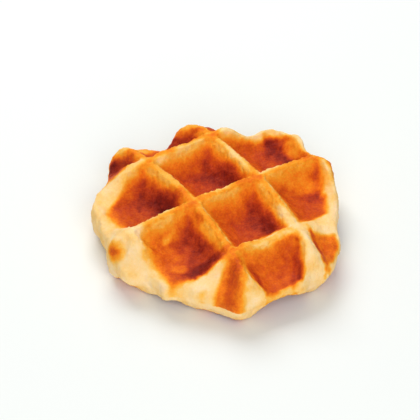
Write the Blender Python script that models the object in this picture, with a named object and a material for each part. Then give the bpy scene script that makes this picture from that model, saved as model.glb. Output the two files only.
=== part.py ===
"""A round Belgian sugar waffle, in metres, +Z up, lying flat with its origin at the middle of its underside.

The dough is one solid. Two iron plates press it: their teeth leave a square lattice of pockets on both
faces, and the channels between the teeth leave the ridges. Towards its rim the dough no longer fills the
channels, so the ridges end in low rounded lobes and the webs between them end in a thin edge.
"""

import itertools
import math

import bmesh
import bpy
from mathutils import Vector, noise
from mathutils.geometry import delaunay_2d_cdt

# Driving dimensions of the dough
THICKNESS = 0.0220
BASE_RADIUS = 0.0460
DOME = 0.0022
FLOOR_DOME_SHARE = 0.5
WEB_FLOOR = 0.0127
WEB_CEILING = 0.0078
SEAT = 0.0003
RIM_MIDDLE = 0.0098
RIM_MIDDLE_SWAY = 0.0012

# The free dough at the rim: a rolled lip, a slope up to the crests, and more height where a channel ends
LIP_RISE = 0.0040
LIP_ROLL = 0.0042
LEAST_RISE = 0.0031
ROLL_SQUARENESS = 2.2
SLACK_SLOPE = 0.55
SLOPE_START = 0.0014
CHANNEL_RISE = 0.0050
CHANNEL_ROLL = 0.0021
SLOPE_TOP = 0.0080
BLEND = 0.0018

# The iron's lattice
RIDGE_TURN = math.radians(32.0)
PITCH_ACROSS = 0.0277
PITCH_ALONG = 0.0293
CROSSING = Vector((-0.0078, -0.0037))
BOW = 0.0021
CREST_HALF = 0.0010
WALL_RUN = 0.0076
WALL_EASE = 0.40
CORNER_FILLET = 0.0016

# Where the dough never filled the iron: place in plan, how much lower it stands, and how far that spreads
SLACK_PLACES = (
    (Vector((-0.0360, -0.0060)), 0.0085, 0.0085),
    (Vector((-0.0400, 0.0100)), 0.0050, 0.0085),
    (Vector((-0.0240, -0.0350)), 0.0090, 0.0085),
    (Vector((-0.0080, -0.0390)), 0.0090, 0.0130),
    (Vector((0.0176, -0.0205)), 0.0034, 0.0060),
    (Vector((0.0285, -0.0150)), 0.0028, 0.0080),
    (Vector((0.0365, -0.0108)), 0.0024, 0.0060),
    (Vector((0.0430, -0.0060)), 0.0070, 0.0090),
)
UNDER_SLACK = 0.15

# Where the dough sank down and filled a pocket of the lower plate: place in plan, and how far that spreads
UNDER_FILLS = (
    (Vector((0.0010, -0.0440)), 0.0085),
    (Vector((-0.0400, -0.0040)), 0.0080),
)

# Unevenness of the dough
RIDGE_SWAY = 0.0006
SURFACE_SWAY = 0.0004
SWAY_SPAN = 0.011
RIM_SWAY_SPAN = 0.022
CRAG_SPAN = 0.0042
CRAG_SHARE = 0.4
SWAY_ORIGIN = Vector((3.1, 7.7, 1.9))

# Which layer of the noise each surface reads, so that no two wander alike
RIM_LAYER = 0.5
TOP_RIDGE_LAYER = 1.0
TOP_FACE_LAYER = 2.0
UNDER_RIDGE_LAYER = 4.0
UNDER_FACE_LAYER = 5.0
CRAG_LAYER_STEP = 0.5

# The mesh: lines between one ridge and the middle of its pocket, and loops that follow the rim
LINES_TO_FLOOR = (0.0, 0.0011, 0.0025, 0.0044, 0.0064, 0.0086, 0.0112)
RIM_LOOPS = (0.0, 0.0003, 0.0010, 0.0021, 0.0036)
RIM_STEPS = 128
LATTICE_INSET = 0.0048
LATTICE_REACH = 2
PLAN_EPSILON = 1e-7
RIM_TOLERANCE = 1e-6

# Each lobe of the outline: direction in degrees, reach past the base circle, half width in degrees
LOBES = (
    (16.0, 0.0006, 5.0),
    (28.0, 0.0034, 6.0),
    (50.0, 0.0044, 5.5),
    (60.0, 0.0036, 5.0),
    (66.0, 0.0030, 3.5),
    (75.0, -0.0036, 5.5),
    (82.0, -0.0020, 5.0),
    (93.0, 0.0050, 4.5),
    (108.0, 0.0014, 5.0),
    (118.0, -0.0048, 7.0),
    (127.0, 0.0026, 5.5),
    (143.0, 0.0028, 5.0),
    (158.0, -0.0022, 8.0),
    (174.0, -0.0006, 8.0),
    (188.0, -0.0030, 5.0),
    (199.0, -0.0044, 7.0),
    (214.0, -0.0014, 6.0),
    (231.0, -0.0024, 4.0),
    (238.0, -0.0048, 7.0),
    (249.0, -0.0012, 3.0),
    (255.0, -0.0042, 7.0),
    (266.0, -0.0022, 5.0),
    (273.0, -0.0012, 4.0),
    (280.0, 0.0036, 5.5),
    (291.0, 0.0014, 6.0),
    (301.0, 0.0012, 6.0),
    (310.0, 0.0030, 5.0),
    (325.0, 0.0040, 8.0),
    (336.0, 0.0024, 8.0),
    (345.0, 0.0010, 5.0),
    (351.0, -0.0010, 5.0),
    (358.0, -0.0008, 6.0),
)

CRUST_COLOUR = (0.80, 0.30, 0.05, 1.0)
CRUST_ROUGHNESS = 0.45


def clear_scene():
    """Removes every object, so that the file can be run again and again."""
    for old in list(bpy.data.objects):
        bpy.data.objects.remove(old, do_unlink=True)


def across():
    """The direction in which one pocket follows the next along a ridge of the second set."""
    return Vector((math.cos(RIDGE_TURN), math.sin(RIDGE_TURN)))


def along():
    """The direction at right angles to it."""
    return Vector((math.sin(RIDGE_TURN), -math.cos(RIDGE_TURN)))


def to_plan(a, b):
    """The plan point at a across and b along the lattice, from its middle crossing."""
    bend = BOW * (b / PITCH_ALONG) ** 2
    return CROSSING + across() * (a - bend) + along() * b


def to_lattice(point):
    """The reverse of to_plan."""
    offset = point - CROSSING
    b = offset.dot(along())
    return offset.dot(across()) + BOW * (b / PITCH_ALONG) ** 2, b


def sway(point, span, layer):
    """A smooth value from about -1 to 1 that wanders over the plan."""
    return noise.noise(Vector((point.x / span, point.y / span, layer)) + SWAY_ORIGIN)


def rim_radius(angle):
    """How far the rim lies from the middle in a direction, in radians."""
    radius = BASE_RADIUS
    for direction, reach, half_width in LOBES:
        turn = (math.degrees(angle) - direction + 180.0) % 360.0 - 180.0
        radius += reach * math.exp(-((turn / half_width) ** 2))
    return radius


def rim_points():
    """The outline in plan, anticlockwise."""
    angles = [math.tau * step / RIM_STEPS for step in range(RIM_STEPS)]
    return [Vector((math.cos(a), math.sin(a))) * rim_radius(a) for a in angles]


def inward(outline, index):
    """The direction that leads from one outline point into the dough."""
    tangent = outline[(index + 1) % RIM_STEPS] - outline[index - 1]
    return Vector((-tangent.y, tangent.x)).normalized()


def inset_loop(outline, depth):
    """The outline moved into the dough, for one loop of the rim."""
    return [point + inward(outline, n) * depth for n, point in enumerate(outline)]


def distance_to(outline, point):
    """The distance from a plan point to the outline."""
    nearest = math.inf
    for n, end in enumerate(outline):
        start = outline[n - 1]
        edge = end - start
        share = max(0.0, min(1.0, (point - start).dot(edge) / edge.length_squared))
        nearest = min(nearest, (point - start - edge * share).length)
    return nearest


def soft_min(first, second, blend):
    """The lower of two values, blended where they meet."""
    overlap = max(blend - abs(first - second), 0.0) / blend
    return min(first, second) - overlap * overlap * blend / 4.0


def pressed_share(point, layer):
    """0 on a ridge, 1 on the floor of a pocket, by the slope of the iron's teeth."""
    a, b = to_lattice(point)
    wander = RIDGE_SWAY * sway(point, SWAY_SPAN, layer)
    gap_a = abs(a - round(a / PITCH_ACROSS) * PITCH_ACROSS)
    gap_b = abs(b - round(b / PITCH_ALONG) * PITCH_ALONG)
    nearest = soft_min(gap_a, gap_b, CORNER_FILLET)
    share = max(0.0, min(1.0, (nearest + wander - CREST_HALF) / WALL_RUN))
    return share + (share - share * share) * WALL_EASE


def roll(depth, width):
    """The section of a rolled edge: 0 at the outline and 1 from a given depth inwards."""
    left = 1.0 - min(depth, width) / width
    return (1.0 - left**ROLL_SQUARENESS) ** (1.0 / ROLL_SQUARENESS)


def slack(point):
    """How much lower than usual the free dough stands here."""
    lowered = 0.0
    for place, drop, spread in SLACK_PLACES:
        lowered += drop * math.exp(-(((point - place).length / spread) ** 2))
    return lowered


def free_rise(depth, share, lowered):
    """How far the dough rises from the rim's middle where no plate presses it."""
    slope = LIP_RISE * roll(depth, LIP_ROLL) + SLACK_SLOPE * max(0.0, depth - SLOPE_START)
    channel = CHANNEL_RISE * (1.0 - share) * roll(depth, CHANNEL_ROLL)
    lowering = lowered * roll(depth, LIP_ROLL)
    return max(LEAST_RISE * roll(depth, LIP_ROLL), soft_min(slope, SLOPE_TOP, BLEND) + channel - lowering)


def rim_middle(point):
    """The height at which the rim is widest, which wanders a little round the waffle."""
    on_base_circle = point.normalized() * BASE_RADIUS
    return RIM_MIDDLE + RIM_MIDDLE_SWAY * sway(on_base_circle, RIM_SWAY_SPAN, RIM_LAYER)


def surface_sway(point, layer):
    """The dough's own unevenness, coarse and fine together."""
    coarse = sway(point, SWAY_SPAN, layer)
    fine = sway(point, CRAG_SPAN, layer + CRAG_LAYER_STEP)
    return SURFACE_SWAY * (coarse + CRAG_SHARE * fine)


def top_height(point, depth):
    """The upper face: ridges and pocket floors under a low dome, falling off towards the rim."""
    dome = DOME * (point.length / BASE_RADIUS) ** 2
    floor = WEB_FLOOR - dome * FLOOR_DOME_SHARE
    crest = THICKNESS - dome
    share = pressed_share(point, TOP_RIDGE_LAYER)
    pressed = crest + (floor - crest) * share + surface_sway(point, TOP_FACE_LAYER)
    middle = rim_middle(point)
    return middle + soft_min(pressed - middle, free_rise(depth, share, slack(point)), BLEND)


def under_share(point):
    """0 on a ridge of the underside or where its pocket is filled, 1 on the ceiling of a pocket."""
    share = pressed_share(point, UNDER_RIDGE_LAYER)
    for place, spread in UNDER_FILLS:
        share *= 1.0 - math.exp(-(((point - place).length / spread) ** 2))
    return share


def bottom_height(point, depth):
    """The lower face, whose ridges are pressed flat where they lie on the table."""
    share = under_share(point)
    pressed = WEB_CEILING * share + surface_sway(point, UNDER_FACE_LAYER) - SEAT
    middle = rim_middle(point)
    drop = free_rise(depth, share, UNDER_SLACK * slack(point))
    return max(0.0, middle - soft_min(middle - pressed, drop, BLEND))


def lattice_lines(pitch):
    """The mesh lines over the whole lattice in one direction, denser on ridges and walls than on floors."""
    half = sorted({*LINES_TO_FLOOR, pitch / 2.0})
    lines = set()
    for ridge in range(-LATTICE_REACH, LATTICE_REACH + 1):
        for offset in half:
            lines.add(round(ridge * pitch + offset, 6))
            lines.add(round(ridge * pitch - offset, 6))
    return sorted(lines)


def lattice_points(outline):
    """The lattice's mesh points that lie well inside the rim, by their place in the lattice."""
    points = {}
    for a in lattice_lines(PITCH_ACROSS):
        for b in lattice_lines(PITCH_ALONG):
            point = to_plan(a, b)
            inside = point.length < rim_radius(math.atan2(point.y, point.x))
            if inside and distance_to(outline, point) > LATTICE_INSET:
                points[a, b] = point
    return points


def corner_creases(numbers):
    """The mesh edges down the corners of every pocket, between points known by their place in the lattice."""
    creases = []
    ridges = range(-LATTICE_REACH, LATTICE_REACH + 1)
    for column, row, side_a, side_b in itertools.product(ridges, ridges, (-1, 1), (-1, 1)):
        for near, far in itertools.pairwise(LINES_TO_FLOOR):
            ends = [
                (round(column * PITCH_ACROSS + side_a * o, 6), round(row * PITCH_ALONG + side_b * o, 6))
                for o in (near, far)
            ]
            if all(end in numbers for end in ends):
                creases.append((numbers[ends[0]], numbers[ends[1]]))
    return creases


def plan_mesh(outline):
    """Triangles over the whole plan: lattice points within, rim loops without."""
    points = []
    for depth in RIM_LOOPS:
        points += inset_loop(outline, depth)
    edges = [
        (loop * RIM_STEPS + n, loop * RIM_STEPS + (n + 1) % RIM_STEPS)
        for loop in range(len(RIM_LOOPS))
        for n in range(RIM_STEPS)
    ]
    lattice = lattice_points(outline)
    edges += corner_creases({place: len(points) + n for n, place in enumerate(lattice)})
    points += lattice.values()
    triangles_inside = 1
    result = delaunay_2d_cdt(points, edges, [list(range(RIM_STEPS))], triangles_inside, PLAN_EPSILON)
    return result[0], result[2]


def foot_of(solid):
    """The middle of the solid's outline box, at its lowest height."""
    xs, ys, zs = zip(*(vert.co for vert in solid.verts))
    return Vector(((min(xs) + max(xs)) / 2.0, (min(ys) + max(ys)) / 2.0, min(zs)))


def waffle_mesh():
    """The two faces over the plan, sharing the points of the outline, as one closed mesh."""
    outline = rim_points()
    points, triangles = plan_mesh(outline)
    depths = [distance_to(outline, point) for point in points]
    on_rim = [depth < RIM_TOLERANCE for depth in depths]
    solid = bmesh.new()
    upper = []
    lower = []
    for point, depth, shared in zip(points, depths, on_rim):
        height = rim_middle(point) if shared else top_height(point, depth)
        upper.append(solid.verts.new((point.x, point.y, height)))
        if shared:
            lower.append(upper[-1])
        else:
            lower.append(solid.verts.new((point.x, point.y, bottom_height(point, depth))))
    for triangle in triangles:
        solid.faces.new([upper[n] for n in triangle])
        solid.faces.new([lower[n] for n in reversed(triangle)])
    bmesh.ops.translate(solid, vec=-foot_of(solid), verts=solid.verts)
    bmesh.ops.recalc_face_normals(solid, faces=solid.faces)
    mesh = bpy.data.meshes.new("waffle")
    solid.to_mesh(mesh)
    solid.free()
    mesh.shade_smooth()
    return mesh


def crust_material():
    """Browned waffle crust."""
    crust = bpy.data.materials.new("browned_crust")
    crust.use_nodes = True
    shader = crust.node_tree.nodes["Principled BSDF"]
    shader.inputs["Base Color"].default_value = CRUST_COLOUR
    shader.inputs["Roughness"].default_value = CRUST_ROUGHNESS
    shader.inputs["Metallic"].default_value = 0.0
    return crust


def build():
    """Makes the waffle."""
    clear_scene()
    waffle = bpy.data.objects.new("waffle", waffle_mesh())
    waffle.data.materials.append(crust_material())
    bpy.context.scene.collection.objects.link(waffle)


build()
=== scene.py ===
"""A round Belgian sugar waffle on a white studio floor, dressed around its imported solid.

Everything is in metres and in the solid's own frame: +Z up, the waffle lying on z = 0, and the viewer
towards -Y.
"""

import logging
import math
from dataclasses import dataclass, field
from enum import Enum

import bpy
import numpy as np
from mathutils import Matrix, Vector, noise


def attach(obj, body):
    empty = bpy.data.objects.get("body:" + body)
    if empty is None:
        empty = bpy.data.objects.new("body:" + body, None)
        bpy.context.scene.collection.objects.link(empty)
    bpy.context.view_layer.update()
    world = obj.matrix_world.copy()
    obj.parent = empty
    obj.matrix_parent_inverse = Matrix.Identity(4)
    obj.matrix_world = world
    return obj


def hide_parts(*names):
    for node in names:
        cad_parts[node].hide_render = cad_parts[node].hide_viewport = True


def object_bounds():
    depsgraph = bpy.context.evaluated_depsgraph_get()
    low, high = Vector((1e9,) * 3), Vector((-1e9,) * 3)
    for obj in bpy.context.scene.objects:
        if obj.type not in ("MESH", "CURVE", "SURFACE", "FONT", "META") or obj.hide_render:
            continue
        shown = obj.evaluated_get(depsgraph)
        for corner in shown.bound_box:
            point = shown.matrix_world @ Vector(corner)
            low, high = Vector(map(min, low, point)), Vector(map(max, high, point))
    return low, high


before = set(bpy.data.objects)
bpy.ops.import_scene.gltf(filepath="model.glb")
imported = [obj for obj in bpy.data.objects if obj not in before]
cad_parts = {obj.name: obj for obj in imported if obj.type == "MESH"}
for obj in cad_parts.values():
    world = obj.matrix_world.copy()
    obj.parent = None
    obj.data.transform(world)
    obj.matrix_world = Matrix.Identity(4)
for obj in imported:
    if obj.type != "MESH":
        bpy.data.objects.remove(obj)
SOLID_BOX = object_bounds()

Colour = tuple[float, float, float]
Plan = tuple[float, float]
Range = tuple[float, float]
Socket = bpy.types.NodeSocket

LOG = logging.getLogger("waffle")
MM = 0.001

# Where and in which layers the source reads the noise of its unevenness
SWAY_ORIGIN = np.array((3.1, 7.7, 1.9))
UPPER_RIDGE_LAYER = 1.0
UPPER_FACE_LAYER = 2.0
CRAG_LAYER_STEP = 0.5

# Which part of the noise each wandering value reads, so that they don't wander alike
GAP_SHIFT = 7.3
FRAY_SHIFT = 5.9
EDGE_HIGHLIGHT_SHIFT = 2.3
PALE_SHIFT = 3.1
PATCH_SHIFT = 11.7

# Where the iron held the dough at the rim, and where it left it free, in plan, in millimetres
LEFT_RIM = (
    (-24.5, 19.5), (-27.8, 16.0), (-31.0, 11.8), (-34.5, 6.6), (-37.6, 1.0), (-39.4, -3.2),
    (-37.4, -8.0), (-34.5, -12.0), (-50.0, -14.0), (-50.0, 14.0), (-31.0, 20.0),
)
LEFT_HELD = (
    (-25.5, 15.0), (-29.0, 12.2), (-32.8, 7.8), (-36.2, 3.6), (-40.4, -2.6), (-38.0, -6.8),
    (-34.2, -11.2), (-28.0, -10.0), (-20.0, -1.0), (-22.5, 14.0),
)
LEFT_LOBE = (
    (-41.5, -13.0), (-33.3, -13.5), (-27.4, -12.5), (-25.0, -15.0), (-25.9, -20.0), (-25.9, -28.2),
    (-23.7, -29.8), (-20.4, -34.2), (-16.0, -40.6), (-22.0, -47.0), (-40.0, -41.0), (-46.0, -23.0),
)
FRONT_LEFT_HELD = (
    (-24.3, -13.0), (-25.9, -20.0), (-25.9, -28.2), (-23.7, -29.8), (-20.4, -34.2), (-16.0, -40.6),
    (-13.8, -40.8), (-7.9, -38.2), (-2.8, -35.3), (1.3, -33.1), (5.0, -31.2), (-8.0, -9.0),
)
FRONT_FREE = (
    (-16.0, -41.6), (-13.6, -41.8), (-7.7, -39.2), (-2.6, -36.3), (1.6, -34.1), (4.4, -33.0),
    (6.0, -39.0), (4.0, -53.0), (-16.0, -51.0),
)
FRONT_STRIPE = (
    (4.2, -31.0), (3.9, -35.2), (2.4, -39.6), (0.2, -45.5), (3.1, -48.0), (7.5, -49.9),
    (9.4, -49.2), (10.1, -45.9), (10.5, -41.3), (10.2, -32.0),
)
FRONT_MIDDLE_HELD = (
    (10.5, -31.4), (14.2, -34.8), (17.1, -42.0), (18.6, -43.8), (23.4, -41.0), (27.4, -38.2),
    (29.2, -36.8), (30.0, -31.2), (29.6, -23.4), (28.2, -18.0), (14.0, -25.0),
)
FRONT_RIGHT_LOBE = (
    (29.2, -14.5), (29.4, -18.6), (31.2, -22.9), (31.9, -31.2), (31.2, -38.0), (27.0, -45.0),
    (40.0, -45.0), (52.0, -21.0), (52.0, -7.0), (42.0, -8.0), (33.0, -12.5),
)
FRONT_NOTCH = (
    (11.5, -41.0), (17.0, -42.6), (18.6, -44.2), (23.4, -41.4), (27.4, -38.6), (29.4, -37.2),
    (33.0, -38.0), (27.0, -46.0), (20.0, -50.0), (11.0, -50.0),
)
SMALL_POCKET = (
    (34.2, -16.4), (43.4, -12.6), (44.4, -17.8), (42.8, -23.6), (40.7, -29.2), (39.0, -29.2),
    (36.1, -21.8),
)
BACK_LIP = (
    (1.6, 34.8), (9.0, 35.6), (14.0, 36.9), (17.5, 37.5), (20.5, 39.2), (26.5, 37.9), (29.8, 33.0),
    (31.8, 28.4), (40.0, 29.0), (36.0, 50.0), (0.0, 52.0),
)
RIGHT_LIP = (
    (38.6, 23.0), (39.6, 16.3), (39.0, 11.5), (40.0, 4.4), (40.9, -7.8), (52.0, -9.0), (52.0, 23.0),
)


class Zone(Enum):
    """A part of the dough's surface that has its own unevenness."""

    FREE = "free_dough"
    CRUST = "pressed_crust"
    RAGGED = "ragged_crests"


class Pattern(Enum):
    """A kind of texture that presses unevenness into the dough."""

    LUMPS = "CLOUDS"
    BLISTERS = "VORONOI"


def smooth(values: np.ndarray, low: float, high: float) -> np.ndarray:
    """Rises smoothly from 0 to 1.

    Args:
        values: Any numbers.
        low: Where the rise starts.
        high: Where it ends, which may be below its start.

    Returns:
        The share of the rise at each value.
    """
    share = np.clip((values - low) / (high - low), 0.0, 1.0)
    return share * share * (3.0 - 2.0 * share)


def wander(points: np.ndarray, span: float, shift: float) -> np.ndarray:
    """A smooth value from about -1 to 1 that wanders through space.

    Args:
        points: Places, one in each row.
        span: The distance over which the value changes.
        shift: Takes another part of the noise, so that two uses don't wander alike.

    Returns:
        One value for each place.
    """
    scaled = points / span + shift
    return np.array([noise.noise(Vector(row)) for row in scaled])


def points_of(mesh: bpy.types.Mesh) -> np.ndarray:
    """Reads where a mesh's vertices are.

    Args:
        mesh: The mesh.

    Returns:
        Their places, one in each row.
    """
    flat = np.empty(len(mesh.vertices) * 3)
    mesh.vertices.foreach_get("co", flat)
    return flat.reshape(-1, 3)


def normals_of(mesh: bpy.types.Mesh) -> np.ndarray:
    """Reads which way a mesh's vertices face.

    Args:
        mesh: The mesh.

    Returns:
        Their directions, one in each row.
    """
    flat = np.empty(len(mesh.vertices) * 3)
    mesh.vertex_normals.foreach_get("vector", flat)
    return flat.reshape(-1, 3)


def pick_only(piece: bpy.types.Object) -> None:
    """Makes one piece the only one that is selected, and the active one.

    Args:
        piece: The piece.
    """
    bpy.ops.object.select_all(action="DESELECT")
    piece.select_set(True)
    bpy.context.view_layer.objects.active = piece


@dataclass(frozen=True)
class Iron:
    """The waffle iron that pressed the dough: its lattice and its two plates.

    Its values are the solid's own, except where one is said to be for the looks.

    Attributes:
        turn: How far the lattice is turned from +X.
        pitch_across: From one ridge to the next across the lattice.
        pitch_along: From one ridge to the next along it.
        middle: The middle crossing, in plan.
        foot: From the solid's middle to the middle of its base circle, where the source's places start.
        bow: How far the ridges bend over one pitch.
        crest_half: Half the width of a ridge's flat crest.
        wall_run: How wide a pocket's wall is in plan.
        wall_ease: How much steeper the wall is near the crest.
        floor_ease: How far the foot of the wall is rounded into the floor, for the looks.
        corner_fillet: How far the corners of a pocket are rounded.
        thickness: The height of the crests in the middle.
        dome: How much lower the crests are on the base circle.
        floor_dome_share: The share of that by which the floors are lower.
        web_floor: The height of the floors of the upper pockets.
        web_ceiling: The height of the ceilings of the lower pockets.
        base_radius: The radius of the base circle.
        ridge_sway: How far the walls wander.
        surface_sway: How far the face wanders up and down.
        sway_span: The distance over which both change.
        crag_span: The distance over which the finer unevenness changes.
        crag_share: How strong that one is.
    """

    turn: float = math.radians(32.0)
    pitch_across: float = 0.0277
    pitch_along: float = 0.0293
    middle: Plan = (-0.00800, -0.00485)
    foot: Plan = (0.00020, 0.00115)
    bow: float = 0.0021
    crest_half: float = 0.0010
    wall_run: float = 0.0076
    wall_ease: float = 0.40
    floor_ease: float = 0.50
    corner_fillet: float = 0.0016
    thickness: float = 0.0220
    dome: float = 0.0022
    floor_dome_share: float = 0.5
    web_floor: float = 0.0127
    web_ceiling: float = 0.0078
    base_radius: float = 0.0460
    ridge_sway: float = 0.0006
    surface_sway: float = 0.0004
    sway_span: float = 0.011
    crag_span: float = 0.0042
    crag_share: float = 0.4

    def lattice(self, points: np.ndarray) -> tuple[np.ndarray, np.ndarray]:
        """Turns places in plan into places in the lattice.

        Args:
            points: Places, one in each row.

        Returns:
            The distances across and along the lattice from its middle crossing.
        """
        x = points[:, 0] - self.middle[0]
        y = points[:, 1] - self.middle[1]
        b = x * math.sin(self.turn) - y * math.cos(self.turn)
        a = x * math.cos(self.turn) + y * math.sin(self.turn) + self.bow * (b / self.pitch_along) ** 2
        return a, b

    def offsets(self, points: np.ndarray) -> tuple[np.ndarray, np.ndarray]:
        """Measures from each place to the nearest ridge of each set.

        Args:
            points: Places, one in each row.

        Returns:
            How far each lies past those ridges across and along the lattice, with a sign.
        """
        a, b = self.lattice(points)
        past_a = a - np.round(a / self.pitch_across) * self.pitch_across
        past_b = b - np.round(b / self.pitch_along) * self.pitch_along
        return past_a, past_b

    def sway(self, points: np.ndarray, span: float, layer: float) -> np.ndarray:
        """The source's own unevenness over the plan.

        Args:
            points: Places, one in each row.
            span: The distance over which it changes.
            layer: The layer of the noise that it reads.

        Returns:
            A value from about -1 to 1 for each place.
        """
        layers = np.full(len(points), layer)
        scaled = np.column_stack(((points[:, :2] + self.foot) / span, layers)) + SWAY_ORIGIN
        return np.array([noise.noise(row) for row in scaled.tolist()])

    def share(self, points: np.ndarray, drift: np.ndarray | float = 0.0) -> np.ndarray:
        """0 on a ridge and 1 on the floor of a pocket.

        Args:
            points: Places, one in each row.
            drift: How far the walls wander there.

        Returns:
            The share at each place.
        """
        past_a, past_b = self.offsets(points)
        gap_a = np.abs(past_a)
        gap_b = np.abs(past_b)
        overlap = np.maximum(self.corner_fillet - np.abs(gap_a - gap_b), 0.0) / self.corner_fillet
        nearest = np.minimum(gap_a, gap_b) - overlap**2 * self.corner_fillet / 4.0
        straight = np.maximum((nearest + drift - self.crest_half) / self.wall_run, 0.0)
        close = np.maximum(self.floor_ease - np.abs(straight - 1.0), 0.0) / self.floor_ease
        straight = np.minimum(straight, 1.0) - close**2 * self.floor_ease / 4.0
        return straight + (straight - straight**2) * self.wall_ease

    def upper_plate(self, points: np.ndarray) -> np.ndarray:
        """The height of the upper plate.

        Args:
            points: Places, one in each row.

        Returns:
            Its height over each place.
        """
        drift = self.ridge_sway * self.sway(points, self.sway_span, UPPER_RIDGE_LAYER)
        share = self.share(points, drift)
        dome = self.dome * (np.hypot(*(points[:, :2] + self.foot).T) / self.base_radius) ** 2
        crest = self.thickness - dome
        floor = self.web_floor - dome * self.floor_dome_share
        coarse = self.sway(points, self.sway_span, UPPER_FACE_LAYER)
        fine = self.sway(points, self.crag_span, UPPER_FACE_LAYER + CRAG_LAYER_STEP)
        return crest + (floor - crest) * share + self.surface_sway * (coarse + self.crag_share * fine)

    def lower_plate(self, points: np.ndarray) -> np.ndarray:
        """The height of the lower plate under each place."""
        return self.web_ceiling * self.share(points)


@dataclass(frozen=True, kw_only=True)
class Marking:
    """A part of the upper face that the iron held or left free, or that browned in its own way.

    Attributes:
        level: What it sets: how free of the iron it is, or how brown.
        hold: How far it overrides what lies under it.
        soft: Half the width of its edge, in millimetres.
    """

    level: float
    hold: float = 1.0
    soft: float = 1.2

    def depth(self, points: np.ndarray) -> np.ndarray:
        """How far inside it each place in millimetres lies, negative outside."""
        raise NotImplementedError

    def lay_over(self, values: np.ndarray, points: np.ndarray, fray: np.ndarray) -> np.ndarray:
        """Lays the marking over values that are already there.

        Args:
            values: One value for each place.
            points: Places in metres, one in each row.
            fray: How far its edge wanders at each place, in millimetres.

        Returns:
            The values with its level blended in.
        """
        weight = self.hold * smooth(self.depth(points / MM) + fray, -self.soft, self.soft)
        return values + (self.level - values) * weight


@dataclass(frozen=True, kw_only=True)
class Area(Marking):
    """A marking with a drawn outline.

    Attributes:
        corners: Its corners in millimetres, in order.
    """

    corners: tuple[Plan, ...]

    def depth(self, points: np.ndarray) -> np.ndarray:
        """How far inside the outline each place lies.

        Args:
            points: Places in millimetres, one in each row.

        Returns:
            The distance to the outline, negative outside it.
        """
        nearest = np.full(len(points), np.inf)
        inside = np.zeros(len(points), dtype=bool)
        x, y = points[:, 0], points[:, 1]
        for (x0, y0), (x1, y1) in zip(self.corners, self.corners[1:] + self.corners[:1]):
            run = np.array((x1 - x0, y1 - y0))
            share = np.clip(((x - x0) * run[0] + (y - y0) * run[1]) / (run @ run), 0.0, 1.0)
            nearest = np.minimum(nearest, np.hypot(x - x0 - share * run[0], y - y0 - share * run[1]))
            rise = run[1] or 1.0
            crosses = (y0 > y) != (y1 > y)
            inside ^= crosses & (x < x0 + run[0] * (y - y0) / rise)
        return np.where(inside, nearest, -nearest)


@dataclass(frozen=True, kw_only=True)
class Spot(Marking):
    """An oval marking.

    Attributes:
        place: Its middle, in millimetres.
        long: Half its length, in millimetres.
        wide: Half its width, in millimetres.
        turn: How far its length is turned from +X, in degrees.
    """

    place: Plan
    long: float
    wide: float
    turn: float = 0.0

    def depth(self, points: np.ndarray) -> np.ndarray:
        """How far inside the oval each place lies.

        Args:
            points: Places in millimetres, one in each row.

        Returns:
            About the distance to its edge, negative outside it.
        """
        x, y = points[:, 0] - self.place[0], points[:, 1] - self.place[1]
        turn = math.radians(self.turn)
        lengthwise = x * math.cos(turn) + y * math.sin(turn)
        sideways = y * math.cos(turn) - x * math.sin(turn)
        reach = np.hypot(lengthwise / self.long, sideways / self.wide)
        return (1.0 - reach) * self.wide


@dataclass(frozen=True, kw_only=True)
class Ball(Marking):
    """A round marking on a steep part of the dough.

    Attributes:
        place: Its middle, in millimetres.
        radius: Its radius, in millimetres.
    """

    place: tuple[float, float, float]
    radius: float

    def depth(self, points: np.ndarray) -> np.ndarray:
        """How far inside the ball each place in millimetres lies, negative outside."""
        return self.radius - np.linalg.norm(points - np.array(self.place), axis=1)


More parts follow.
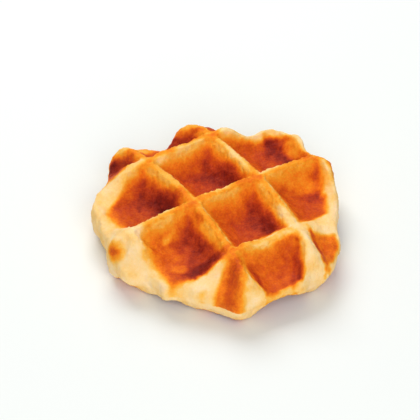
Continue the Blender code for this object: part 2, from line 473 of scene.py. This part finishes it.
class NodeBench:
    """Lays shader nodes into one material and joins them."""

    def __init__(self, name: str) -> None:
        """Starts a material that has only its Principled shader.

        Args:
            name: The material's name.
        """
        self.material = bpy.data.materials.new(name)
        self.material.use_nodes = True
        self.tree = self.material.node_tree
        self.shader = self.tree.nodes["Principled BSDF"]

    def add(
        self, kind: str, sockets: dict[str | int, object] | None = None, **settings: object
    ) -> bpy.types.Node:
        """Adds one node.

        Args:
            kind: Blender's name for the node, without its ShaderNode.
            sockets: Values or output sockets, by the name or number of the input that takes them.
            settings: The node's own settings.

        Returns:
            The node.
        """
        node = self.tree.nodes.new("ShaderNode" + kind)
        for name, value in settings.items():
            setattr(node, name, value)
        for key, value in (sockets or {}).items():
            self.give(node.inputs[key], value)
        return node

    def give(self, socket: Socket, value: object) -> None:
        """Joins an output to a socket, or sets the socket's value.

        Args:
            socket: The input.
            value: An output socket, or a plain value.
        """
        if isinstance(value, Socket):
            self.tree.links.new(value, socket)
        else:
            socket.default_value = value

    def dress(self, sockets: dict[str, object]) -> None:
        """Gives the Principled shader its values and links."""
        for key, value in sockets.items():
            self.give(self.shader.inputs[key], value)

    def maths(self, operation: str, *values: object) -> Socket:
        """Adds a Math node and returns its output."""
        return self.add("Math", dict(enumerate(values)), operation=operation).outputs[0]

    def noise(self, place: Socket, span: float, detail: float) -> Socket:
        """Adds a noise texture.

        Args:
            place: The output that gives the place.
            span: The size of the noise's largest features.
            detail: How many finer scales lie over them.

        Returns:
            Its value, about 0.5 on average.
        """
        sockets = {"Vector": place, "Scale": 1.0 / span, "Detail": detail}
        return self.add("TexNoise", sockets).outputs[0]

    def spread(self, value: Socket, span: Range, levels: Range) -> Socket:
        """Maps one range of a value to another, and stays in it.

        Args:
            value: The output that gives the value.
            span: The range that is mapped.
            levels: What its two ends become.

        Returns:
            The output.
        """
        sockets = dict(enumerate((value, *span, *levels)))
        return self.add("MapRange", sockets, clamp=True).outputs[0]

    def ramp(self, value: Socket, stops: tuple[tuple[float, Colour], ...]) -> Socket:
        """Adds a colour ramp.

        Args:
            value: The output that runs along it.
            stops: Each stop's place and colour.

        Returns:
            The colour output.
        """
        node = self.add("ValToRGB", {0: value})
        elements = node.color_ramp.elements
        while len(elements) < len(stops):
            elements.new(1.0)
        for element, (place, colour) in zip(elements, stops):
            element.position = place
            element.color = (*colour, 1.0)
        return node.outputs[0]


@dataclass(frozen=True)
class BakedCrust:
    """The finish of the dough: pale and matt where it rose freely, dark and glossy where the iron held it.

    Attributes:
        name: The material's name.
        attribute: The mesh's attribute that says how brown each place is, with painted shade and painted
            highlights in it.
        colours: The dough's colours from raw to burnt.
        mottle_span: The size of the patches that are browner or paler.
        mottle_detail: How many finer scales the patches have.
        mottle: How much browner or paler they are.
        speck_span: The size of the specks.
        speck_detail: How many finer scales the specks have.
        speck: How much browner or paler they are.
        calm_range: Between which browns the patches grow to their full strength.
        pale_calm: How strong they are on pale dough.
        rough_range: Between which browns the roughness changes.
        pale_roughness: The roughness of pale dough.
        crust_roughness: The roughness of brown crust.
        gloss: How strongly the surface mirrors.
        glow: How much light passes through the dough.
        glow_depth: How deep it goes.
        glow_colours: How much of that depth red, green and blue light reach.
        pore_span: The size of the pores.
        pore_detail: How many finer scales the pores have.
        pore_depth: Their depth.
    """

    name: str = "baked_sugar_dough"
    attribute: str = "bake"
    colours: tuple[tuple[float, Colour], ...] = (
        (0.00, (0.96, 0.71, 0.42)),
        (0.08, (0.95, 0.63, 0.26)),
        (0.17, (0.93, 0.49, 0.085)),
        (0.29, (0.91, 0.33, 0.020)),
        (0.42, (0.85, 0.20, 0.010)),
        (0.56, (0.66, 0.104, 0.008)),
        (0.70, (0.48, 0.050, 0.010)),
        (0.85, (0.25, 0.018, 0.008)),
        (1.00, (0.11, 0.007, 0.006)),
    )
    mottle_span: float = 2.8 * MM
    mottle_detail: float = 5.0
    mottle: float = 0.16
    speck_span: float = 0.7 * MM
    speck_detail: float = 2.0
    speck: float = 0.08
    calm_range: Range = (0.10, 0.40)
    pale_calm: float = 0.35
    rough_range: Range = (0.1, 0.6)
    pale_roughness: float = 0.70
    crust_roughness: float = 0.42
    gloss: float = 0.045
    glow: float = 0.12
    glow_depth: float = 1.6 * MM
    glow_colours: Colour = (1.0, 0.45, 0.15)
    pore_span: float = 0.55 * MM
    pore_detail: float = 3.0
    pore_depth: float = 0.24 * MM

    def material(self) -> bpy.types.Material:
        """Makes the material.

        Returns:
            A material that reads from the mesh's attribute how brown each place is, with its painted shade
            and highlights.
        """
        bench = NodeBench(self.name)
        place = bench.add("TexCoord").outputs["Object"]
        bake = bench.add("Attribute", attribute_name=self.attribute).outputs["Fac"]
        mottle = bench.noise(place, self.mottle_span, self.mottle_detail)
        speck = bench.noise(place, self.speck_span, self.speck_detail)
        mottle = bench.maths("SUBTRACT", mottle, 0.5)
        speck = bench.maths("SUBTRACT", speck, 0.5)
        patches = bench.maths("MULTIPLY", mottle, self.mottle * 2.0)
        patches = bench.maths("MULTIPLY_ADD", speck, self.speck * 2.0, patches)
        strength = bench.spread(bake, self.calm_range, (self.pale_calm, 1.0))
        bake = bench.maths("MULTIPLY_ADD", patches, strength, bake)
        pores = bench.noise(place, self.pore_span, self.pore_detail)
        bump = bench.add("Bump", {"Height": pores, "Strength": 1.0, "Distance": self.pore_depth})
        roughness = (self.pale_roughness, self.crust_roughness)
        bench.dress({
            "Base Color": bench.ramp(bake, self.colours),
            "Roughness": bench.spread(bake, self.rough_range, roughness),
            "Specular IOR Level": self.gloss,
            "Subsurface Weight": self.glow,
            "Subsurface Radius": self.glow_colours,
            "Subsurface Scale": self.glow_depth,
            "Normal": bump.outputs[0],
        })
        return bench.material


@dataclass(frozen=True)
class Unevenness:
    """One scale of lumps or blisters in the dough's surface.

    Attributes:
        pattern: The kind of texture.
        zone: Where on the dough it is.
        span: The size of its features.
        height: How far it moves the surface between its lowest and highest places.
        middle: The texture's value that leaves the surface where it is.
    """

    pattern: Pattern
    zone: Zone
    span: float
    height: float
    middle: float = 0.5

    def press(self, piece: bpy.types.Object) -> None:
        """Presses it into a piece with a Displace modifier, which is applied.

        Args:
            piece: The piece, which has a vertex group for each zone.
        """
        name = f"{self.zone.value}_{self.pattern.name.lower()}"
        texture = bpy.data.textures.new(name, self.pattern.value)
        texture.noise_scale = self.span
        modifier = piece.modifiers.new("unevenness", "DISPLACE")
        modifier.texture = texture
        modifier.texture_coords = "LOCAL"
        modifier.strength = self.height
        modifier.mid_level = self.middle
        modifier.vertex_group = self.zone.value
        bpy.ops.object.modifier_apply(modifier=modifier.name)


@dataclass(frozen=True)
class Rising:
    """How free of the iron the dough stays, before the listed places.

    Attributes:
        gaps: The gap to a plate up to which the iron held the dough, and the one from which it was free.
        gap_sway: How far these gaps wander.
        gap_sway_span: The distance over which they do.
        level_faces: How level a face is that counts as pressed, and how level one that doesn't.
        lip_heights: The height above which a steep face isn't free rim, and the one below which it is.
    """

    gaps: Range = (0.6 * MM, 1.7 * MM)
    gap_sway: float = 0.35 * MM
    gap_sway_span: float = 3.0 * MM
    level_faces: Range = (0.75, 0.45)
    lip_heights: Range = (11.0 * MM, 9.0 * MM)

    def freedom(self, iron: Iron, points: np.ndarray, facing: np.ndarray) -> np.ndarray:
        """How free of the iron each place stayed.

        Args:
            iron: The iron.
            points: Places on the surface, one in each row.
            facing: How far each place faces upwards, from -1 to 1.

        Returns:
            0 where a plate pressed the dough, 1 where it rose freely.
        """
        wobble = self.gap_sway * wander(points, self.gap_sway_span, GAP_SHIFT)
        above = iron.upper_plate(points) - points[:, 2]
        below = points[:, 2] - iron.lower_plate(points)
        free = smooth(np.minimum(above, below) + wobble, *self.gaps)
        steep = smooth(np.abs(facing), *self.level_faces)
        return np.maximum(free, steep * smooth(points[:, 2], *self.lip_heights))


@dataclass(frozen=True)
class BrowningAndPaintedLight:
    """How brown the dough baked, by its place in the lattice, with painted shade in the pockets and
    painted highlights on the crests. 0 is raw pale dough, and 1 is burnt sugar.

    Attributes:
        shares: Places from a ridge's crest, at 0, to the floor of its pocket, at 1.
        levels: How brown the crust is at each of them.
        crossing: How much browner it is where two ridges cross.
        crossing_radius: How far round the crossing that spreads.
        foot: How much darker it is at the foot of the pocket's right-hand wall, partly browner crust and
            partly painted shade.
        foot_distance: From the ridge on the right to the middle of that foot.
        foot_width: How wide it is.
        foot_place: How far towards the pocket's front its middle lies, as a share of the pocket.
        foot_length: How long it is, as a share of the pocket.
        valley: How much darker it is down the corner between two walls, partly browner crust and partly
            painted shade.
        valley_width: How wide that corner is.
        valley_start: The distances from the ridge over which it starts.
        shade: How much darker the wall left of a ridge is painted, as painted shade on that left-facing
            wall.
        shade_start: The distances from the ridge over which that starts.
        shade_end: The distances over which it ends.
        edge_highlight: How much paler the painted highlight on the far edges of the crests is.
        edge_highlight_distance: From the ridge's middle to those edges.
        edge_highlight_width: How wide the highlight is.
        edge_highlight_span: The distance over which it comes and goes.
        edge_highlight_range: Between which values of the noise it comes.
        pale: How brown free dough is.
        pale_sway: How much that wanders.
        pale_span: The distance over which it does.
        patch: How much all the dough wanders.
        patch_span: The distance over which it does.
    """

    shares: tuple[float, ...] = (0.0, 0.10, 0.22, 0.42, 0.7, 1.0)
    levels: tuple[float, ...] = (0.30, 0.22, 0.24, 0.37, 0.55, 0.67)
    crossing: float = 0.15
    crossing_radius: float = 3.0 * MM
    foot: float = 0.25
    foot_distance: float = 5.6 * MM
    foot_width: float = 3.8 * MM
    foot_place: float = 0.66
    foot_length: float = 0.30
    valley: float = 0.10
    valley_width: float = 2.0 * MM
    valley_start: Range = (1.0 * MM, 4.0 * MM)
    shade: float = 0.08
    shade_start: Range = (1.5 * MM, 4.5 * MM)
    shade_end: Range = (11.0 * MM, 8.0 * MM)
    edge_highlight: float = 0.14
    edge_highlight_distance: float = 1.4 * MM
    edge_highlight_width: float = 0.8 * MM
    edge_highlight_span: float = 2.2 * MM
    edge_highlight_range: Range = (-0.15, 0.35)
    pale: float = 0.07
    pale_sway: float = 0.05
    pale_span: float = 5.0 * MM
    patch: float = 0.06
    patch_span: float = 6.0 * MM

    def of_crust_and_painted_light(self, iron: Iron, points: np.ndarray) -> np.ndarray:
        """How brown the iron baked each place that it held, with painted shade and painted highlights.

        Args:
            iron: The iron.
            points: Places on the surface, one in each row.

        Returns:
            One level for each place.
        """
        past_a, past_b = iron.offsets(points)
        toward_front = np.mod(iron.lattice(points)[1] / iron.pitch_along, 1.0)
        left_of = -past_a
        before = toward_front * iron.pitch_along
        crust = np.interp(iron.share(points), self.shares, self.levels)
        crossing = np.exp(-((past_a / self.crossing_radius) ** 2) - (past_b / self.crossing_radius) ** 2)
        # The dark foot of the right-hand wall: partly browner crust, partly painted shade.
        foot_across = ((left_of - self.foot_distance) / self.foot_width) ** 2
        foot = np.exp(-foot_across - ((toward_front - self.foot_place) / self.foot_length) ** 2)
        # The dark corner between two walls: partly browner crust, partly painted shade.
        valley = np.exp(-(((left_of - before) / self.valley_width) ** 2))
        valley = valley * smooth(left_of, *self.valley_start)
        # Painted shade on the left-facing wall of each pocket.
        shady = smooth(left_of, *self.shade_start) * smooth(left_of, *self.shade_end)
        crust += self.crossing * crossing + self.foot * foot + self.valley * valley + self.shade * shady
        # Painted highlight: a paler band along the far edges of the crests, where the back light catches
        # them.
        highlit_edge = np.exp(-(((past_b + self.edge_highlight_distance) / self.edge_highlight_width) ** 2))
        highlit_edge = highlit_edge + np.exp(-(((past_a - self.edge_highlight_distance) / self.edge_highlight_width) ** 2))
        highlight_showing = smooth(wander(points, self.edge_highlight_span, EDGE_HIGHLIGHT_SHIFT), *self.edge_highlight_range)
        crust -= self.edge_highlight * np.minimum(highlit_edge, 1.0) * highlight_showing
        return crust

    def of_all(self, iron: Iron, points: np.ndarray, free: np.ndarray) -> np.ndarray:
        """How brown each place is, before the listed places.

        Args:
            iron: The iron.
            points: Places on the surface, one in each row.
            free: How free of the iron each place stayed.

        Returns:
            One level for each place.
        """
        crust = self.of_crust_and_painted_light(iron, points)
        pale = self.pale + self.pale_sway * wander(points, self.pale_span, PALE_SHIFT)
        bake = crust + (pale - crust) * free
        bake += self.patch * wander(points, self.patch_span, PATCH_SHIFT)
        return bake


@dataclass
class Waffle:
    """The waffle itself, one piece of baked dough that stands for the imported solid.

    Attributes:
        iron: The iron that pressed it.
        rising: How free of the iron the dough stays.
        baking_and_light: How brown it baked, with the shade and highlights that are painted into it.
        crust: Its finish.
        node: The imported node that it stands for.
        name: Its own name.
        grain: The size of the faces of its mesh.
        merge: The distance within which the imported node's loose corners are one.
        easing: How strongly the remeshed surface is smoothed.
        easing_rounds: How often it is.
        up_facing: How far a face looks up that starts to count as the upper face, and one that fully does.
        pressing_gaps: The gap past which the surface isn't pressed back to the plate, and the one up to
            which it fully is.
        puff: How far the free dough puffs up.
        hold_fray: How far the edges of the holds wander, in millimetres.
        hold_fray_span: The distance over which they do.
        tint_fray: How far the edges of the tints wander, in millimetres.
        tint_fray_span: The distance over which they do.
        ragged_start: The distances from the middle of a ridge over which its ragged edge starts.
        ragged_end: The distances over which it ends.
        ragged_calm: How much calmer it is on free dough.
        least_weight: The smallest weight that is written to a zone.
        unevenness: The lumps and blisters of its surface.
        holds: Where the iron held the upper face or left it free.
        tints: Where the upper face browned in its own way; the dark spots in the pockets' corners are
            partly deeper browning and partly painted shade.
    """

    iron: Iron = field(default_factory=Iron)
    rising: Rising = field(default_factory=Rising)
    baking_and_light: BrowningAndPaintedLight = field(default_factory=BrowningAndPaintedLight)
    crust: BakedCrust = field(default_factory=BakedCrust)
    node: str = "waffle"
    name: str = "baked_waffle"
    grain: float = 0.545 * MM
    merge: float = 0.001 * MM
    easing: float = 0.5
    easing_rounds: int = 2
    up_facing: Range = (0.2, 0.5)
    pressing_gaps: Range = (0.9 * MM, 0.4 * MM)
    puff: float = 0.5 * MM
    hold_fray: float = 0.7
    hold_fray_span: float = 2.6 * MM
    tint_fray: float = 0.7
    tint_fray_span: float = 2.2 * MM
    ragged_start: Range = (0.3 * MM, 1.2 * MM)
    ragged_end: Range = (3.2 * MM, 1.8 * MM)
    ragged_calm: float = 0.5
    least_weight: float = 0.01
    unevenness: tuple[Unevenness, ...] = (
        Unevenness(Pattern.LUMPS, Zone.FREE, 5.0 * MM, 1.1 * MM),
        Unevenness(Pattern.LUMPS, Zone.FREE, 1.8 * MM, 0.36 * MM),
        Unevenness(Pattern.LUMPS, Zone.CRUST, 3.2 * MM, 0.80 * MM),
        Unevenness(Pattern.BLISTERS, Zone.CRUST, 2.0 * MM, 0.38 * MM),
        Unevenness(Pattern.LUMPS, Zone.CRUST, 1.0 * MM, 0.26 * MM),
        Unevenness(Pattern.LUMPS, Zone.FREE, 0.9 * MM, 0.26 * MM),
        Unevenness(Pattern.LUMPS, Zone.RAGGED, 1.3 * MM, 1.25 * MM),
    )
    holds: tuple[Marking, ...] = (
        Area(corners=LEFT_RIM, level=0.92, soft=1.4),
        Area(corners=LEFT_HELD, level=0.0, soft=1.8),
        Area(corners=LEFT_LOBE, level=1.0, soft=2.0),
        Area(corners=FRONT_LEFT_HELD, level=0.0, soft=2.0),
        Area(corners=FRONT_FREE, level=1.0),
        Area(corners=FRONT_STRIPE, level=0.0, soft=1.8),
        Area(corners=FRONT_MIDDLE_HELD, level=0.0, soft=1.5),
        Area(corners=FRONT_NOTCH, level=0.9, soft=1.3),
        Area(corners=FRONT_RIGHT_LOBE, level=1.0, soft=1.8),
        Area(corners=SMALL_POCKET, level=0.0),
        Area(corners=RIGHT_LIP, level=1.0, soft=2.2),
        Area(corners=BACK_LIP, level=0.95, soft=1.4),
    )
    tints: tuple[Marking, ...] = (
        Area(corners=FRONT_STRIPE, level=0.36, soft=2.4),
        Spot(place=(6.3, -41.5), long=8.0, wide=2.6, turn=80.0, level=0.62, soft=1.6),
        Area(corners=FRONT_MIDDLE_HELD, level=0.48, hold=0.55, soft=1.8),
        Spot(place=(14.9, -37.6), long=5.0, wide=1.2, turn=-62.0, level=0.74, soft=1.0),
        Spot(place=(29.0, -30.5), long=6.5, wide=1.2, turn=86.0, level=0.72, soft=1.0),
        Area(corners=SMALL_POCKET, level=0.44, hold=0.6, soft=1.6),
        Spot(place=(37.1, -22.6), long=6.2, wide=0.8, turn=-70.0, level=0.74, soft=0.8),
        Spot(place=(-4.6, -43.7), long=0.8, wide=0.6, level=0.20, soft=0.8),
        Ball(place=(-37.0, -25.9, 6.4), radius=1.3, level=0.24, soft=0.9),
        Ball(place=(-37.0, -24.8, 15.3), radius=4.4, level=0.22, soft=1.5),
        Ball(place=(-37.0, -24.8, 15.3), radius=2.3, level=0.56, soft=1.8),
        Spot(place=(-35.0, 19.0), long=6.0, wide=3.4, turn=40.0, level=0.76, hold=0.9, soft=1.8),
        Spot(place=(-33.3, 27.6), long=5.5, wide=1.5, turn=12.0, level=0.14, hold=0.8, soft=1.2),
        Spot(place=(-11.0, 37.4), long=6.5, wide=2.2, turn=10.0, level=0.74, hold=0.9, soft=1.8),
        Spot(place=(-7.0, 40.2), long=8.0, wide=1.9, turn=-5.0, level=0.18, hold=0.85, soft=1.4),
        Spot(place=(-19.0, -24.0), long=8.0, wide=5.0, turn=-30.0, level=0.44, hold=0.5),
        # Dark right-hand corners of three pockets: partly deeper browning, partly painted shade.
        Spot(place=(15.2, -8.2), long=4.0, wide=2.6, turn=-35.0, level=0.84, hold=0.8, soft=1.8),
        Spot(place=(1.5, 17.0), long=6.5, wide=3.0, turn=10.0, level=0.84, hold=0.8, soft=2.2),
        Spot(place=(-18.6, 1.4), long=6.5, wide=3.2, turn=-10.0, level=0.92, hold=0.8, soft=2.2),
        Spot(place=(-8.5, -17.0), long=5.5, wide=1.0, turn=-75.0, level=0.76, hold=0.9, soft=1.0),
        Spot(place=(-6.0, -12.6), long=3.5, wide=0.9, turn=-60.0, level=0.70, hold=0.9, soft=1.0),
        # Dark right-hand corner of the front-left pocket: partly deeper browning, partly painted shade.
        Spot(place=(-7.0, -28.5), long=8.0, wide=4.6, turn=35.0, level=0.74, hold=0.8, soft=2.5),
        Spot(place=(-24.4, -23.5), long=7.5, wide=1.0, turn=-80.0, level=0.26, hold=0.75),
        Spot(place=(-1.2, -33.0), long=4.0, wide=1.2, turn=35.0, level=0.26, hold=0.8),
        # Dark foot of the front-left pocket's right-hand wall: partly deeper browning, partly painted
        # shade.
        Spot(place=(-4.4, -32.6), long=8.0, wide=3.2, turn=25.0, level=0.94, hold=0.9, soft=1.6),
        Spot(place=(-16.9, -17.4), long=2.6, wide=1.0, turn=35.0, level=0.13, hold=0.8, soft=1.0),
        Spot(place=(-2.2, -19.5), long=8.0, wide=1.5, turn=-58.0, level=0.22, hold=0.7),
        Spot(place=(-16.8, 7.6), long=7.0, wide=1.6, turn=-58.0, level=0.17, hold=0.8),
        Spot(place=(20.4, -2.5), long=7.0, wide=1.6, turn=-58.0, level=0.24, hold=0.7),
        Spot(place=(2.4, 2.6), long=3.2, wide=0.8, turn=32.0, level=0.05, hold=0.9, soft=0.9),
        Spot(place=(20.8, 14.4), long=4.2, wide=0.8, turn=32.0, level=0.03, hold=0.9, soft=0.9),
        Spot(place=(-17.5, -9.5), long=8.0, wide=0.7, turn=32.0, level=0.10, hold=0.9, soft=0.8),
        Spot(place=(-13.1, -31.1), long=3.0, wide=2.4, level=0.42, hold=0.8),
        Spot(place=(-20.4, 20.2), long=3.2, wide=1.3, turn=32.0, level=0.10, hold=0.9),
        Spot(place=(-11.2, 26.6), long=3.4, wide=1.3, turn=32.0, level=0.10, hold=0.9),
        Spot(place=(-6.1, 29.9), long=3.0, wide=1.2, turn=32.0, level=0.12, hold=0.9),
        Spot(place=(7.2, 21.6), long=9.0, wide=1.4, turn=-58.0, level=0.06, hold=0.9),
        Spot(place=(25.4, -10.4), long=6.0, wide=2.0, turn=-58.0, level=0.07, hold=0.9),
        # Dark right-hand corner of a back pocket: partly deeper browning, partly painted shade.
        Spot(place=(21.4, 34.6), long=5.5, wide=2.6, turn=-60.0, level=0.86, hold=0.9),
        Spot(place=(28.6, 31.2), long=5.0, wide=2.2, turn=-60.0, level=0.22, hold=0.8, soft=1.6),
        Spot(place=(42.4, 20.0), long=4.5, wide=1.6, turn=-65.0, level=0.46, hold=0.8, soft=1.4),
        Spot(place=(34.0, 2.0), long=5.5, wide=4.0, turn=-50.0, level=0.66, hold=0.7, soft=2.0),
        Spot(place=(32.0, 13.2), long=8.5, wide=3.4, turn=5.0, level=0.36, hold=0.85, soft=2.2),
        Spot(place=(-27.8, 33.8), long=6.5, wide=2.6, turn=12.0, level=0.22, hold=0.9, soft=1.4),
        Spot(place=(17.1, -25.0), long=4.5, wide=1.4, turn=32.0, level=0.08, hold=0.9),
        Spot(place=(25.6, -19.2), long=4.5, wide=1.4, turn=32.0, level=0.10, hold=0.9),
    )

    def build(self) -> bpy.types.Object:
        """Makes the waffle's mesh and gives it its finish.

        Returns:
            The finished piece.
        """
        piece = self.copy_of_solid()
        self.refine(piece)
        self.press(piece)
        self.mark_zones(piece)
        for unevenness in self.unevenness:
            unevenness.press(piece)
        self.settle(piece)
        self.brown(piece)
        piece.data.materials.append(self.crust.material())
        piece.data.shade_smooth()
        return piece

    def copy_of_solid(self) -> bpy.types.Object:
        """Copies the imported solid's surface, and merges its loose triangles.

        Returns:
            The copy, which is selected.
        """
        piece = bpy.data.objects.new(self.name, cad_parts[self.node].data.copy())
        bpy.context.scene.collection.objects.link(piece)
        piece.data.materials.clear()
        pick_only(piece)
        bpy.ops.object.mode_set(mode="EDIT")
        bpy.ops.mesh.select_all(action="SELECT")
        bpy.ops.mesh.remove_doubles(threshold=self.merge)
        bpy.ops.mesh.tris_convert_to_quads()
        bpy.ops.object.mode_set(mode="OBJECT")
        return piece

    def refine(self, piece: bpy.types.Object) -> None:
        """Rounds the coarse faces and remeshes them evenly, fine enough for crumb and blisters.

        Args:
            piece: The piece.
        """
        rounding = piece.modifiers.new("rounding", "SUBSURF")
        rounding.levels = rounding.render_levels = 1
        remesh = piece.modifiers.new("remesh", "REMESH")
        remesh.mode = "VOXEL"
        remesh.voxel_size = self.grain
        easing = piece.modifiers.new("easing", "SMOOTH")
        easing.factor = self.easing
        easing.iterations = self.easing_rounds
        for name in [modifier.name for modifier in piece.modifiers]:
            bpy.ops.object.modifier_apply(modifier=name)

    def press(self, piece: bpy.types.Object) -> None:
        """Presses the upper face back to its plate, and puffs the free dough up.

        The coarse faces cut the crests, so the surface lies a little under the plate there.

        Args:
            piece: The piece.
        """
        points = points_of(piece.data)
        facing = normals_of(piece.data)[:, 2]
        upward = smooth(facing, *self.up_facing)
        gap = self.iron.upper_plate(points) - points[:, 2]
        points[:, 2] += gap * upward * smooth(np.abs(gap), *self.pressing_gaps)
        points[:, 2] += self.puff * self.freedom(points, facing) * upward
        piece.data.vertices.foreach_set("co", points.ravel())
        piece.data.update()

    def freedom(self, points: np.ndarray, facing: np.ndarray) -> np.ndarray:
        """How free of the iron each place stayed, with the listed places.

        Args:
            points: Places on the surface, one in each row.
            facing: How far each place faces upwards, from -1 to 1.

        Returns:
            0 where a plate pressed the dough, 1 where it rose freely.
        """
        free = self.rising.freedom(self.iron, points, facing)
        fray = self.hold_fray * wander(points, self.hold_fray_span, FRAY_SHIFT)
        upper = self.is_upper(points)
        for area in self.holds:
            free = np.where(upper, area.lay_over(free, points, fray), free)
        return free

    def is_upper(self, points: np.ndarray) -> np.ndarray:
        """Tells which places belong to the upper face."""
        return points[:, 2] > self.iron.web_ceiling

    def mark_zones(self, piece: bpy.types.Object) -> None:
        """Gives the piece a vertex group for each zone of its surface.

        Args:
            piece: The piece.
        """
        points = points_of(piece.data)
        free = self.freedom(points, normals_of(piece.data)[:, 2])
        past_a, past_b = self.iron.offsets(points)
        gap = np.minimum(np.abs(past_a), np.abs(past_b))
        edge = smooth(gap, *self.ragged_start) * smooth(gap, *self.ragged_end)
        weights = {
            Zone.FREE: free,
            Zone.CRUST: 1.0 - free,
            Zone.RAGGED: edge * (1.0 - self.ragged_calm * free),
        }
        for zone, values in weights.items():
            group = piece.vertex_groups.new(name=zone.value)
            for number in np.nonzero(values > self.least_weight)[0]:
                group.add([int(number)], float(values[number]), "REPLACE")

    def settle(self, piece: bpy.types.Object) -> None:
        """Keeps the roughened surface inside the solid's box, and flat where it lies on the table.

        Args:
            piece: The piece.
        """
        points = points_of(piece.data)
        points = np.clip(points, np.array(SOLID_BOX[0]), np.array(SOLID_BOX[1]))
        piece.data.vertices.foreach_set("co", points.ravel())
        piece.data.update()

    def browning_and_light(self, points: np.ndarray, facing: np.ndarray) -> np.ndarray:
        """How brown each place is, with the listed places.

        Args:
            points: Places on the surface, one in each row.
            facing: How far each place faces upwards, from -1 to 1.

        Returns:
            0 for raw pale dough to 1 for burnt sugar, with painted shade and painted highlights in it.
        """
        bake = self.baking_and_light.of_all(self.iron, points, self.freedom(points, facing))
        fray = self.tint_fray * wander(points, self.tint_fray_span, FRAY_SHIFT)
        upper = self.is_upper(points)
        for tint in self.tints:
            bake = np.where(upper, tint.lay_over(bake, points, fray), bake)
        return np.clip(bake, 0.0, 1.0)

    def brown(self, piece: bpy.types.Object) -> None:
        """Writes how brown each place is, with its painted shade and highlights, to the attribute that the
        finish reads.

        Args:
            piece: The piece.
        """
        bake = self.browning_and_light(points_of(piece.data), normals_of(piece.data)[:, 2])
        attribute = piece.data.attributes.new(self.crust.attribute, "FLOAT", "POINT")
        attribute.data.foreach_set("value", bake.astype(np.float32))


@dataclass(frozen=True)
class SoftBox:
    """A square lamp that faces the waffle.

    Attributes:
        name: Its name.
        place: Where it hangs.
        size: The side of its face.
        power: Its power in watts.
    """

    name: str
    place: tuple[float, float, float]
    size: float
    power: float

    def hang(self) -> None:
        """Hangs the lamp and turns it to the waffle."""
        light = bpy.data.lights.new(self.name, "AREA")
        light.size = self.size
        light.energy = self.power
        lamp = bpy.data.objects.new(self.name, light)
        lamp.location = self.place
        lamp.rotation_euler = Vector(self.place).to_track_quat("Z", "Y").to_euler()
        bpy.context.scene.collection.objects.link(lamp)


@dataclass
class Studio:
    """The pale floor, the soft lights and the camera.

    Attributes:
        elevation: The camera's angle above the floor, in degrees.
        width: How much the picture shows from left to right, at the waffle.
        distance: From the camera to the waffle.
        picture: The width and height of the picture, in pixels.
        origin_column: The column of the picture in which the origin lies.
        origin_row: The row of the picture in which the origin lies.
        sensor: The width of the camera's sensor, in millimetres.
        floor_size: The side of the floor.
        floor_drop: How far it lies under the waffle, so that the two don't share a plane.
        floor_colour: Its colour.
        floor_roughness: Its roughness.
        floor_gloss: How strongly it mirrors.
        sky_colour: The colour of the even light all round.
        sky_strength: Its strength.
        lamps: The lamps.
    """

    elevation: float = 42.0
    width: float = 0.1546
    distance: float = 1.6
    picture: float = 420.0
    origin_column: float = 215.5
    origin_row: float = 236.9
    sensor: float = 36.0
    floor_size: float = 6.0
    floor_drop: float = 0.05 * MM
    floor_colour: tuple[float, float, float, float] = (0.84, 0.865, 0.845, 1.0)
    floor_roughness: float = 0.9
    floor_gloss: float = 0.1
    sky_colour: tuple[float, float, float, float] = (1.0, 1.0, 1.0, 1.0)
    sky_strength: float = 0.33
    lamps: tuple[SoftBox, ...] = (
        SoftBox("back_box", (-0.16, 0.58, 0.72), 0.7, 6.7),
        SoftBox("front_box", (0.10, -0.80, 0.60), 0.8, 6.6),
    )

    def floor(self) -> bpy.types.Object:
        """Lays the floor, just under the waffle.

        Returns:
            The floor.
        """
        bpy.ops.object.select_all(action="DESELECT")
        bpy.ops.mesh.primitive_plane_add(size=self.floor_size, location=(0.0, 0.0, -self.floor_drop))
        floor = bpy.context.active_object
        floor.name = "studio_floor"
        bench = NodeBench("white_studio_card")
        bench.dress({
            "Base Color": self.floor_colour,
            "Roughness": self.floor_roughness,
            "Specular IOR Level": self.floor_gloss,
        })
        floor.data.materials.append(bench.material)
        return floor

    def sky(self) -> None:
        """Surrounds the table with even white light."""
        world = bpy.data.worlds.new("white_tent")
        world.use_nodes = True
        background = world.node_tree.nodes["Background"]
        background.inputs["Color"].default_value = self.sky_colour
        background.inputs["Strength"].default_value = self.sky_strength
        bpy.context.scene.world = world

    def camera(self) -> None:
        """Sets the camera at the photograph's angle, with a long lens."""
        angle = math.radians(self.elevation)
        step = self.width / self.picture
        up = Vector((0.0, math.sin(angle), math.cos(angle)))
        back = Vector((0.0, -math.cos(angle), math.sin(angle)))
        aim = Vector(((self.picture / 2.0 - self.origin_column) * step, 0.0, 0.0))
        aim += up * (self.origin_row - self.picture / 2.0) * step
        lens = bpy.data.cameras.new("product_camera")
        lens.sensor_width = self.sensor
        lens.lens = lens.sensor_width * self.distance / self.width
        camera = bpy.data.objects.new("product_camera", lens)
        camera.location = aim + back * self.distance
        camera.rotation_euler = (math.pi / 2.0 - angle, 0.0, 0.0)
        bpy.context.scene.collection.objects.link(camera)
        bpy.context.scene.camera = camera

    def build(self) -> None:
        """Sets up the floor, the lights and the camera."""
        self.floor()
        self.sky()
        for lamp in self.lamps:
            lamp.hang()
        self.camera()
        bpy.context.scene.view_settings.view_transform = "Standard"


def main() -> None:
    """Builds the waffle and the studio round it."""
    logging.basicConfig(level=logging.INFO, format="%(name)s: %(message)s")
    waffle = Waffle().build()
    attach(waffle, "root")
    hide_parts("waffle")
    LOG.info("%s has %d faces", waffle.name, len(waffle.data.polygons))
    Studio().build()
    LOG.info("studio is set")


if __name__ == "__main__":
    main()
